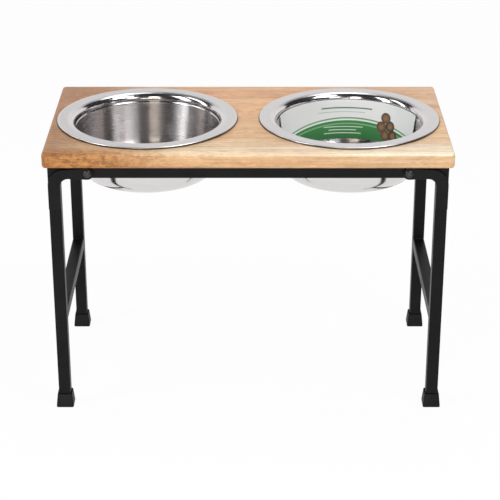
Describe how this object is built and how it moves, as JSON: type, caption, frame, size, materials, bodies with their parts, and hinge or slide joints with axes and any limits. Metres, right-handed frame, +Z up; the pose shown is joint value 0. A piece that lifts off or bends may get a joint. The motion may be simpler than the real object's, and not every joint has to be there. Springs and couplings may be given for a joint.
{
  "type": "elevated pet bowl",
  "caption": "Raised pet feeder: a wood board with lift-out steel bowls in round holes, on a black square-tube stand whose leg frames fold in under the board.",
  "frame": {"origin": "on the floor under the middle of the board", "axes": "+X along the board to the right, -Y to the front, +Z up"},
  "size_m": [0.5, 0.26, 0.3525],
  "materials": {
    "wood": "clear satin lacquer",
    "frame_paint": "satin black powder coat",
    "foot_plastic": "matt black",
    "stainless": "polished inside, satin flange",
    "black_steel": "glossy black",
    "zinc_steel": "zinc plated",
    "card": "printed card"
  },
  "bodies": {
    "stand": {"wood_top": "wood", "front_rail": "frame_paint", "rear_rail": "frame_paint", "left_end_rail": "frame_paint", "right_end_rail": "frame_paint", "board_screws": "zinc_steel", "pivot_bolts": "black_steel", "pivot_washers": "zinc_steel", "pivot_nuts": "zinc_steel"},
    "left_leg_frame": {"left_stretcher": "frame_paint", "left_front_leg": "frame_paint", "left_front_bracket": "frame_paint", "left_front_foot": "foot_plastic", "left_rear_leg": "frame_paint", "left_rear_bracket": "frame_paint", "left_rear_foot": "foot_plastic"},
    "right_leg_frame": {"right_stretcher": "frame_paint", "right_front_leg": "frame_paint", "right_front_bracket": "frame_paint", "right_front_foot": "foot_plastic", "right_rear_leg": "frame_paint", "right_rear_bracket": "frame_paint", "right_rear_foot": "foot_plastic"},
    "left_bowl": {"left_bowl": "stainless"},
    "right_bowl": {"right_bowl": "stainless"},
    "card": {"card_insert": "card"}
  },
  "joints": [
    {"name": "left_leg_fold", "type": "hinge", "parent": "stand", "child": "left_leg_frame", "pos_m": [-0.1955, 0, 0.3228], "axis": [0, -1, 0], "range_deg": [0, 90]},
    {"name": "right_leg_fold", "type": "hinge", "parent": "stand", "child": "right_leg_frame", "pos_m": [0.1955, 0, 0.3228], "axis": [0, 1, 0], "range_deg": [0, 74]},
    {"name": "left_bowl_lift", "type": "slide", "parent": "stand", "child": "left_bowl", "axis": [0, 0, 1], "range_m": [0, 0.1]},
    {"name": "right_bowl_lift", "type": "slide", "parent": "stand", "child": "right_bowl", "axis": [0, 0, 1], "range_m": [0, 0.1]},
    {"name": "card_lift", "type": "slide", "parent": "right_bowl", "child": "card", "axis": [0, 0, 1], "range_m": [0, 0.08]}
  ]
}
